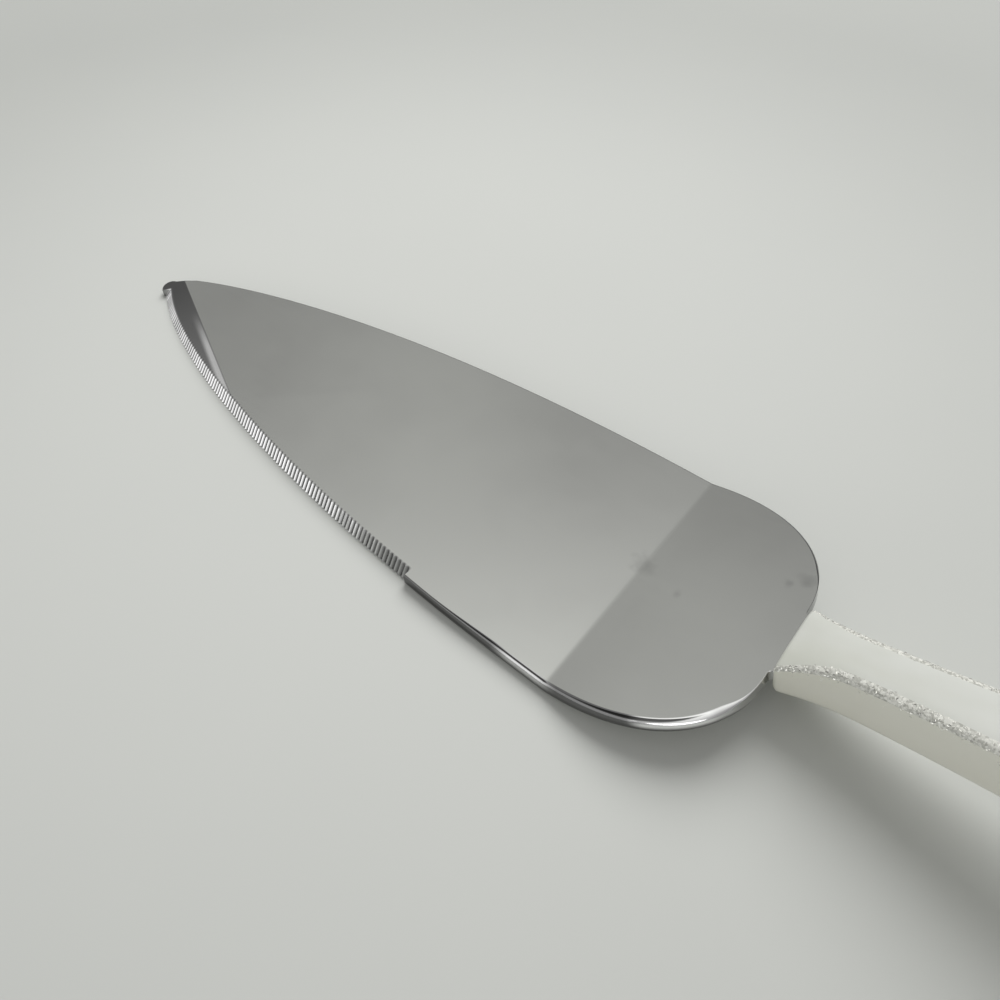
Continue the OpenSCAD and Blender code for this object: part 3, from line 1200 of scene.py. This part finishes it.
# Lamps: heading and elevation in degrees, distance, target, size and power
SOFT_TOP = (112, 44, 2.0, (-0.03, 0, 0), (1.6, 1.6), 38.0)
WINDOW_LEFT = (-113, 9, 1.0, (-0.06, -0.02, 0), (1.5, 0.36), 1.8)
WINDOW_RIGHT = (-50, 12, 1.0, (0.02, -0.024, 0), (0.8, 0.2), 0.7)


def aimed_lamp(name, azimuth, elevation, reach, target, size, power, shape="ELLIPSE"):
    """A flat lamp at a heading, an elevation and a distance from what it lights."""
    turn, lift = math.radians(azimuth), math.radians(elevation)
    flat = math.cos(lift)
    away = Vector((math.cos(turn) * flat, math.sin(turn) * flat, math.sin(lift)))
    place = Vector(target) + away * reach
    lamp = bpy.data.lights.new(name, "AREA")
    lamp.shape = shape
    lamp.size, lamp.size_y = size
    lamp.energy = power
    holder = bpy.data.objects.new(name, lamp)
    holder.location = place
    aim = Vector(target) - place
    holder.rotation_euler = aim.to_track_quat("-Z", "Y").to_euler()
    bpy.context.scene.collection.objects.link(holder)
    return holder


# The photograph's camera, from the fit to the blade's two edges
CAMERA_PLACE = Vector((CREASE_X * MM + 0.02826, -0.0715, 0.115))
CAMERA_AHEAD = Vector((-0.4005, 0.48, -0.7805))
CAMERA_DOWN = Vector((0.4925, -0.6055, -0.6251))
CAMERA_FOCAL = 27.04
CAMERA_SENSOR = 36
CAMERA_NEAR = 0.005


def build_camera():
    """Places the camera and makes it the scene's own."""
    camera = bpy.data.cameras.new("photo_camera")
    camera.lens = CAMERA_FOCAL
    camera.sensor_width = CAMERA_SENSOR
    camera.clip_start = CAMERA_NEAR
    holder = bpy.data.objects.new("photo_camera", camera)
    ahead = CAMERA_AHEAD.normalized()
    down = (CAMERA_DOWN - CAMERA_DOWN.dot(ahead) * ahead).normalized()
    right = down.cross(ahead)
    turn = Matrix((right, -down, -ahead)).transposed()
    holder.matrix_world = Matrix.Translation(CAMERA_PLACE) @ turn.to_4x4()
    bpy.context.scene.collection.objects.link(holder)
    bpy.context.scene.camera = holder


build_camera()
build_blade(steel_material())
build_base(pearl_material("pearl_shell", (0.76, 0.755, 0.675), (0.73, 0.725, 0.635), 0.3))
build_cover(pearl_material("pearl_cover", (0.61, 0.62, 0.58), (0.53, 0.54, 0.48), 0.3))
STRIP = strip_material()
FLAKES = flake_material()
build_strip("near_glitter_bar", -1, "near_glitter_strip", STRIP)
build_strip("far_glitter_bar", 1, "far_glitter_strip", STRIP)
build_flakes("near_glitter_flakes", -1, "near_glitter_strip", FLAKES, 11)
build_flakes("far_glitter_flakes", 1, "far_glitter_strip", FLAKES, 23)
build_bond(bond_material())
build_table()
build_world()
# The steel doesn't mirror the main lamp: its face would show it as a white disc
aimed_lamp("soft_top", *SOFT_TOP).visible_glossy = False
aimed_lamp("low_window_left", *WINDOW_LEFT, shape="RECTANGLE")
aimed_lamp("low_window_right", *WINDOW_RIGHT)

bpy.context.scene.view_settings.view_transform = "Standard"
